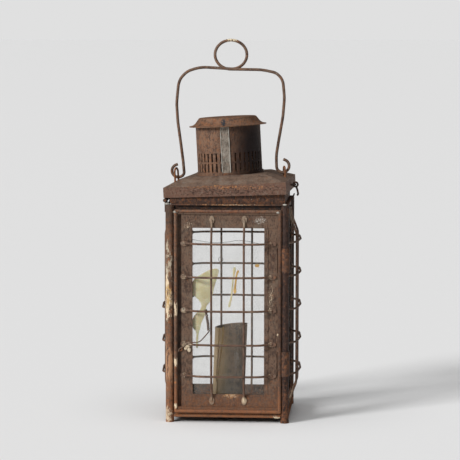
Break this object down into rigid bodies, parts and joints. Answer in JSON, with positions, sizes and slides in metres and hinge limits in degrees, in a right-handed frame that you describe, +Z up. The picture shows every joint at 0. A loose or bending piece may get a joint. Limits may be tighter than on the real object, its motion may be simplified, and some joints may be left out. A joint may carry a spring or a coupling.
{
  "type": "hanging candle lantern",
  "caption": "Square sheet-iron candle lantern with a glazed hinged door, wire-guarded panes, hinged lid with slotted chimney, and a wire bail with a finger ring.",
  "frame": {"origin": "centre of the footprint, on the surface that the four post ends stand on", "axes": "+Z up, the door faces -Y, +X towards the side that the door is hinged on"},
  "size_m": [0.1438, 0.1456, 0.3876],
  "materials": {
    "rusty_sheet": "rusted sheet iron, scuffed, with flecks of cream paint",
    "door_sheet": "rusted sheet iron, orange near the edges",
    "lid_sheet": "rusted sheet iron, dull grey brown",
    "chimney_sheet": "rusted sheet iron with traces of tinning",
    "candle_tube": "rusted sheet iron with wax drips",
    "guard_wire": "rusted iron wire",
    "bail_wire": "rusted iron wire, worn cream paint at the ring",
    "small_wire": "orange rusted iron wire",
    "glass": "old window glass, a little dusty",
    "door_glass": "old window glass, hazed and wax stained",
    "wax": "old yellowed candle wax",
    "wick": "charred cotton"
  },
  "bodies": {
    "lantern": {"body_hinge_leaf": "lid_sheet", "bottom_rail_front": "rusty_sheet", "bottom_rail_left": "rusty_sheet", "bottom_rail_rear": "rusty_sheet", "bottom_rail_right": "rusty_sheet", "candle_tube": "candle_tube", "floor_pan": "rusty_sheet", "front_sill": "rusty_sheet", "latch_loop": "small_wire", "left_glass": "glass", "left_glass_channels": "rusty_sheet", "left_guard_bars": "guard_wire", "left_guard_uprights": "guard_wire", "left_window_wall": "rusty_sheet", "lid_hinge_pin": "small_wire", "post_front_left": "rusty_sheet", "post_front_right": "rusty_sheet", "post_rear_left": "rusty_sheet", "post_rear_right": "rusty_sheet", "rear_glass": "glass", "rear_glass_channels": "rusty_sheet", "rear_guard_bars": "guard_wire", "rear_guard_uprights": "guard_wire", "rear_window_wall": "rusty_sheet", "right_glass": "glass", "right_glass_channels": "rusty_sheet", "right_guard_bars": "guard_wire", "right_guard_uprights": "guard_wire", "right_window_wall": "rusty_sheet", "top_collar": "lid_sheet"},
    "door": {"door_cross_plates": "door_sheet", "door_edge_bead": "door_sheet", "door_glass": "door_glass", "door_glass_channels": "rusty_sheet", "door_guard_bars": "guard_wire", "door_guard_uprights": "guard_wire", "door_panel": "door_sheet", "door_strap_lower": "door_sheet", "door_strap_upper": "door_sheet", "door_tie_wire": "small_wire", "door_window_strips": "door_sheet"},
    "lid": {"lid_roof": "lid_sheet", "chimney_tube": "chimney_sheet", "chimney_base_ring": "chimney_sheet", "chimney_seam": "chimney_sheet", "chimney_cap": "chimney_sheet", "bail_eyelet_left": "small_wire", "bail_eyelet_right": "small_wire", "lid_hook_staple": "small_wire", "lid_hinge_leaf": "lid_sheet"},
    "bail": {"bail": "bail_wire"},
    "lid_hook": {"lid_hook": "small_wire"},
    "candle": {"candle_stub": "wax", "candle_wick": "wick"}
  },
  "joints": [
    {"name": "door_swing", "type": "hinge", "parent": "lantern", "child": "door", "pos_m": [0.0583, -0.0583, 0.11], "axis": [0, 0, 1], "range_deg": [0, 135]},
    {"name": "lid_tip", "type": "hinge", "parent": "lantern", "child": "lid", "pos_m": [-0.06325, 0, 0.2254], "axis": [0, -1, 0], "range_deg": [0, 100]},
    {"name": "bail_swing", "type": "hinge", "parent": "lid", "child": "bail", "pos_m": [-0.00111, 0, 0.24814], "axis": [0.998, -0.0349, 0.0523], "range_deg": [-84, 84]},
    {"name": "lid_hook_swing", "type": "hinge", "parent": "lid", "child": "lid_hook", "pos_m": [0.06636, -0.00233, 0.2384], "axis": [-0.0349, -0.9994, -0.0018], "range_deg": [0, 160]},
    {"name": "candle_lift", "type": "slide", "parent": "lantern", "child": "candle", "axis": [0.0384, 0, 0.9993], "range_m": [0, 0.095]}
  ]
}
